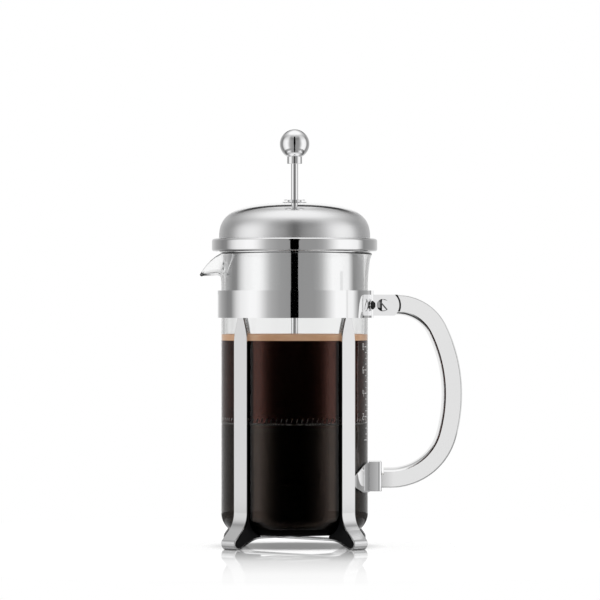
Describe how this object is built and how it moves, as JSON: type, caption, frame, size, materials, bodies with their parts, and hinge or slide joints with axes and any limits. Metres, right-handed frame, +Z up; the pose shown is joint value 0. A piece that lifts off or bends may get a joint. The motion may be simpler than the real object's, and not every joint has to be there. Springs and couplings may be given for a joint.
{
  "type": "french press",
  "caption": "Glass coffee press in a four-legged chromed steel frame with a loop handle, a domed lid and a ball-topped plunger with a filter stack.",
  "frame": {"origin": "on the table, under the beaker's axis", "axes": "+Z up along the beaker's axis, +X towards the handle, -X towards the spout, -Y is the side seen with the handle on the right"},
  "size_m": [0.1716, 0.1084, 0.2731],
  "materials": {
    "chrome": "mirror polish",
    "handle_metal": "polished, slightly soft",
    "stainless": "fine brushed",
    "mesh": "woven fine wire",
    "black_plastic": "satin black",
    "glass": "clear borosilicate"
  },
  "bodies": {
    "frame": {"frame_band": "chrome", "leg_strip_a": "chrome", "leg_strip_b": "chrome", "pad_front_left": "black_plastic", "pad_front_right": "black_plastic", "pad_back_left": "black_plastic", "pad_back_right": "black_plastic", "handle": "handle_metal", "handle_screw": "chrome", "handle_nut": "chrome", "lower_bracket": "chrome", "handle_socket": "chrome", "lower_screw": "stainless"},
    "beaker": {"beaker": "glass"},
    "lid_guide": {"rod_bush": "chrome", "bush_nut": "stainless"},
    "lid": {"lid_dome": "chrome", "lid_rim": "chrome", "lid_skirt": "chrome", "splash_plate": "stainless"},
    "plunger": {"knob": "chrome", "knob_collar": "chrome", "plunger_rod": "chrome", "spiral_plate": "stainless", "edge_coil": "stainless", "mesh_filter": "mesh", "cross_plate": "stainless", "cross_hub": "stainless"}
  },
  "joints": [
    {"name": "beaker_lift", "type": "slide", "parent": "frame", "child": "beaker", "axis": [0, 0, 1], "range_m": [0, 0.2]},
    {"name": "lid_lift", "type": "slide", "parent": "beaker", "child": "lid_guide", "axis": [0, 0, 1], "range_m": [0, 0.13]},
    {"name": "lid_turn", "type": "hinge", "parent": "lid_guide", "child": "lid", "pos_m": [0, 0, 0.2], "axis": [0, 0, 1], "continuous": true},
    {"name": "plunger_slide", "type": "slide", "parent": "lid_guide", "child": "plunger", "axis": [0, 0, 1], "range_m": [-0.0233, 0.0735]}
  ]
}
